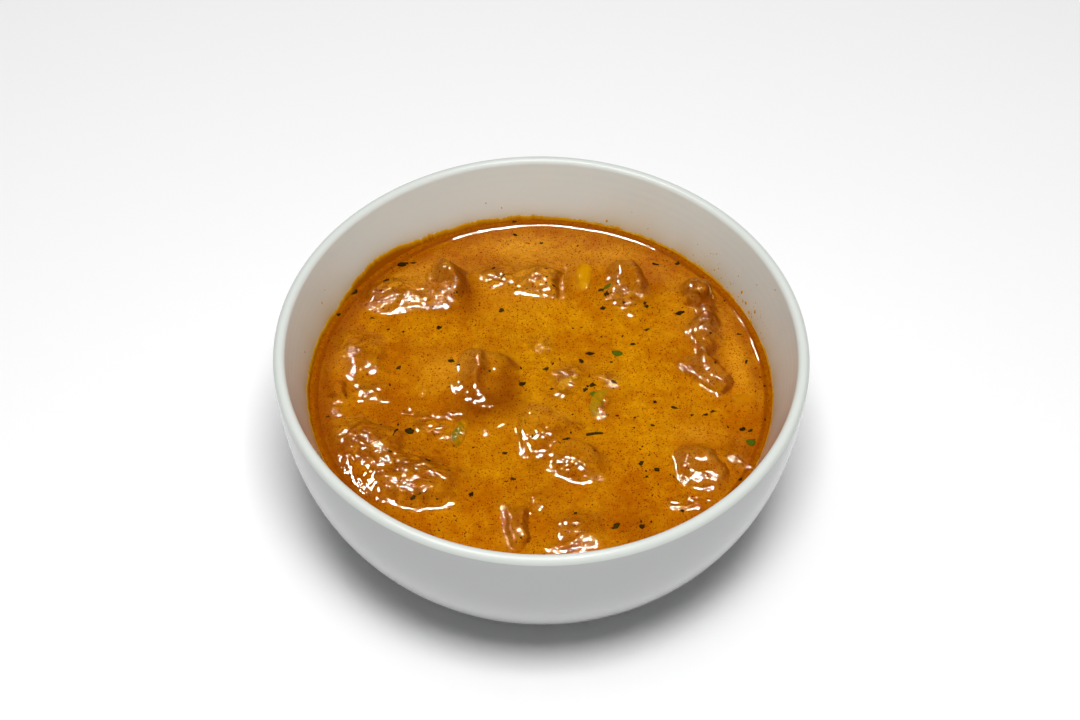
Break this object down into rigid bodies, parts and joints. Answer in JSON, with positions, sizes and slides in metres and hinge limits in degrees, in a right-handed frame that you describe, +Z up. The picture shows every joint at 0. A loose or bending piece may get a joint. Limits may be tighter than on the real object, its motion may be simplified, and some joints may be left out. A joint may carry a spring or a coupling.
{
  "type": "lamb tikka masala",
  "caption": "Thick glazed round bowl filled with orange-brown curry sauce, chunks of lamb, bits of pepper and onion and flecks of herb.",
  "frame": {"origin": "bottom centre of the bowl's foot ring, on the surface it stands on", "axes": "+Z up out of the bowl; +Y away from the viewer of the picture, +X to the right"},
  "size_m": [0.16, 0.16, 0.069],
  "materials": {
    "porcelain": "smooth glossy off-white glaze",
    "sauce": "thick creamy curry sauce, wet and glossy, speckled with spice",
    "lamb": "cooked lamb coated in sauce, wet and uneven",
    "green_pepper": "soft cooked green pepper, wet",
    "yellow_pepper": "soft cooked yellow pepper, wet",
    "onion": "soft translucent cooked onion, wet",
    "herb": "dark dried herb, matt"
  },
  "bodies": {
    "root": {"bowl": "porcelain", "green_pepper": "green_pepper", "herb_stalk": "herb", "lamb_01": "lamb", "lamb_02": "lamb", "lamb_03": "lamb", "lamb_04": "lamb", "lamb_05": "lamb", "lamb_06": "lamb", "lamb_07": "lamb", "lamb_08": "lamb", "lamb_09": "lamb", "lamb_10": "lamb", "lamb_11": "lamb", "lamb_12": "lamb", "lamb_13": "lamb", "lamb_14": "lamb", "lamb_15": "lamb", "lamb_16": "lamb", "lamb_17": "lamb", "onion_bit": "onion", "onion_curl": "onion", "onion_strip": "onion", "pepper_bit": "yellow_pepper", "sauce": "sauce", "yellow_pepper": "yellow_pepper"}
  },
  "joints": []
}
